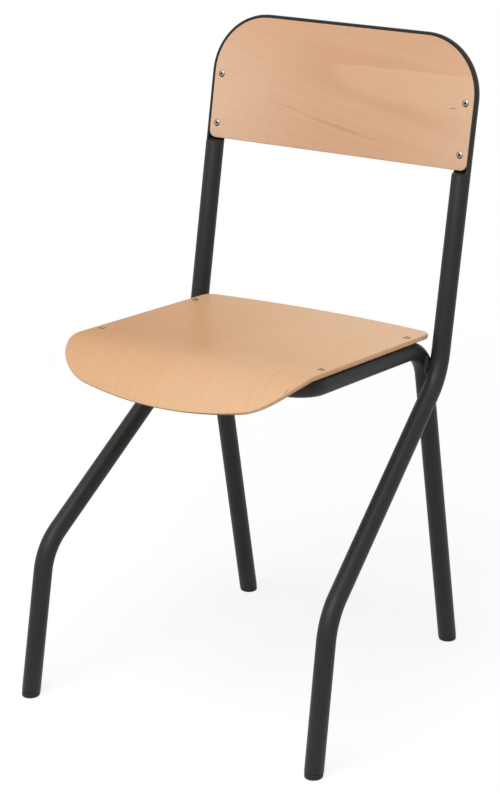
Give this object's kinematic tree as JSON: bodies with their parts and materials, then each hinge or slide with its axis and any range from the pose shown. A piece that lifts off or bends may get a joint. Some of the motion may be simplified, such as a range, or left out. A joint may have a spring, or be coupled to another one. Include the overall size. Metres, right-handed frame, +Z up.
{
  "type": "school chair",
  "caption": "Rigid school chair: bent steel tube frames welded where they cross, a moulded plywood seat with a rolled front edge, and a plywood backrest let into the tube's arch.",
  "frame": {"origin": "on the floor, under the middle of the chair's bounding box", "axes": "+Z up; the chair faces -Y; +X is the right-hand side of someone who looks at its front, which the node names call right"},
  "size_m": [0.4654, 0.4813, 0.8543],
  "materials": {
    "frame_paint": "satin black powder coat",
    "seat_wood": "clear-varnished beech plywood",
    "back_wood": "clear-varnished beech plywood",
    "rivet_steel": "zinc-plated",
    "mandrel_steel": "bare, broken off",
    "foot_plastic": "moulded black"
  },
  "bodies": {
    "root": {"back_frame_tube": "frame_paint", "seat_frame_tube": "frame_paint", "weld_bead_right_front": "frame_paint", "weld_bead_right_rear": "frame_paint", "weld_bead_left_front": "frame_paint", "weld_bead_left_rear": "frame_paint", "seat_panel": "seat_wood", "backrest_panel": "back_wood", "seat_rear_right_rivet": "rivet_steel", "seat_rear_right_mandrel": "mandrel_steel", "seat_rear_left_rivet": "rivet_steel", "seat_rear_left_mandrel": "mandrel_steel", "seat_front_right_rivet": "rivet_steel", "seat_front_right_mandrel": "mandrel_steel", "seat_front_left_rivet": "rivet_steel", "seat_front_left_mandrel": "mandrel_steel", "back_lower_right_rivet": "rivet_steel", "back_lower_right_mandrel": "mandrel_steel", "back_lower_left_rivet": "rivet_steel", "back_lower_left_mandrel": "mandrel_steel", "back_upper_right_rivet": "rivet_steel", "back_upper_right_mandrel": "mandrel_steel", "back_upper_left_rivet": "rivet_steel", "back_upper_left_mandrel": "mandrel_steel", "foot_front_right": "foot_plastic", "foot_front_left": "foot_plastic", "foot_rear_right": "foot_plastic", "foot_rear_left": "foot_plastic"}
  },
  "joints": []
}
